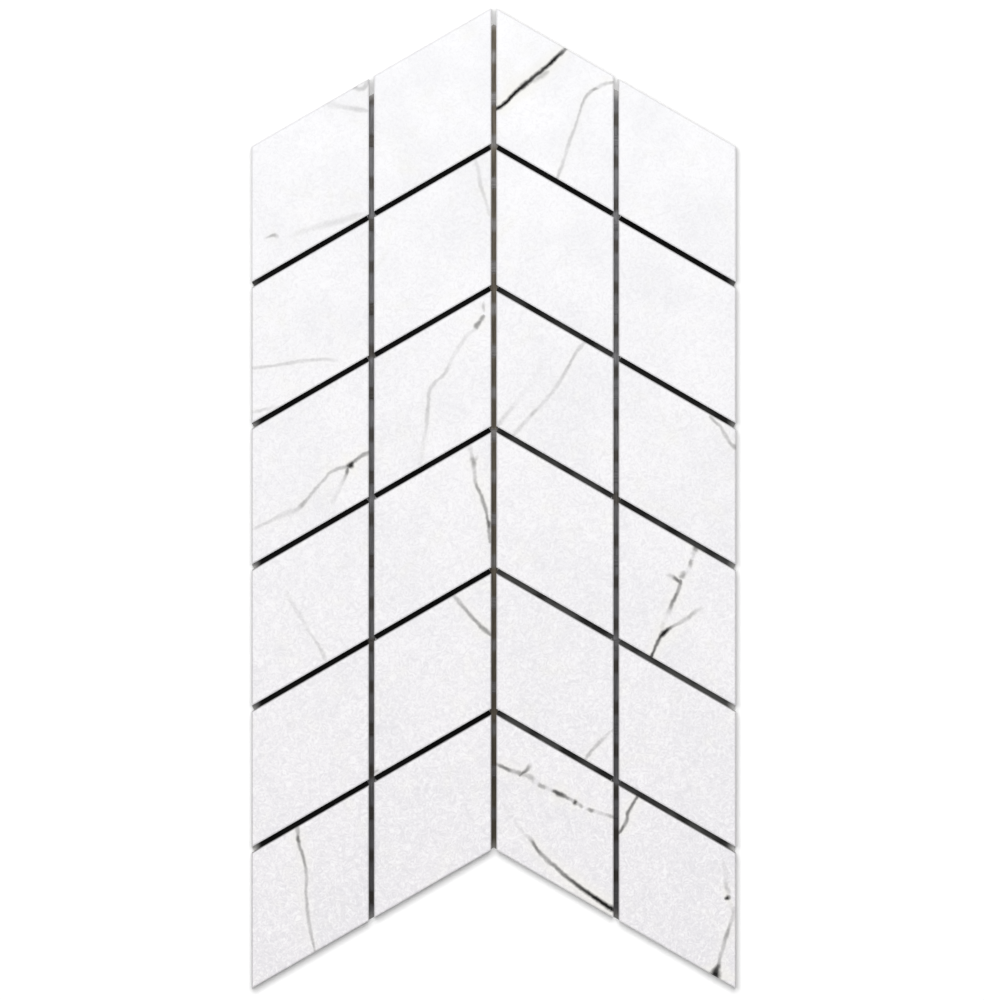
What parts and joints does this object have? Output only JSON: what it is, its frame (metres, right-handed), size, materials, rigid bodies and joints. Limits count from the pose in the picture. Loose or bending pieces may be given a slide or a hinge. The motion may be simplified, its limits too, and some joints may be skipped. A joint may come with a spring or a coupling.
{
  "type": "chevron mosaic tile sheet",
  "caption": "Chevron sheet of rhombic white marble chips on an open fibre net, with black strips in its slanted joints.",
  "frame": {"origin": "under the middle of the sheet's box, on the face of the net that goes to the wall", "axes": "+Z out of the polished faces, +Y towards the peak of the chevron, +X to the right seen from the front"},
  "size_m": [0.1508, 0.3052, 0.01],
  "materials": {
    "marble": "satin",
    "net": "matte",
    "strip": "matte"
  },
  "bodies": {
    "root": {"backing_net": "net", "chip_left_1_row_1": "marble", "chip_left_1_row_2": "marble", "chip_left_1_row_3": "marble", "chip_left_1_row_4": "marble", "chip_left_1_row_5": "marble", "chip_left_1_row_6": "marble", "chip_left_2_row_1": "marble", "chip_left_2_row_2": "marble", "chip_left_2_row_3": "marble", "chip_left_2_row_4": "marble", "chip_left_2_row_5": "marble", "chip_left_2_row_6": "marble", "chip_right_1_row_1": "marble", "chip_right_1_row_2": "marble", "chip_right_1_row_3": "marble", "chip_right_1_row_4": "marble", "chip_right_1_row_5": "marble", "chip_right_1_row_6": "marble", "chip_right_2_row_1": "marble", "chip_right_2_row_2": "marble", "chip_right_2_row_3": "marble", "chip_right_2_row_4": "marble", "chip_right_2_row_5": "marble", "chip_right_2_row_6": "marble", "strip_left_1_joint_1": "strip", "strip_left_1_joint_2": "strip", "strip_left_1_joint_3": "strip", "strip_left_1_joint_4": "strip", "strip_left_1_joint_5": "strip", "strip_left_2_joint_1": "strip", "strip_left_2_joint_2": "strip", "strip_left_2_joint_3": "strip", "strip_left_2_joint_4": "strip", "strip_left_2_joint_5": "strip", "strip_right_1_joint_1": "strip", "strip_right_1_joint_2": "strip", "strip_right_1_joint_3": "strip", "strip_right_1_joint_4": "strip", "strip_right_1_joint_5": "strip", "strip_right_2_joint_1": "strip", "strip_right_2_joint_2": "strip", "strip_right_2_joint_3": "strip", "strip_right_2_joint_4": "strip", "strip_right_2_joint_5": "strip"}
  },
  "joints": []
}
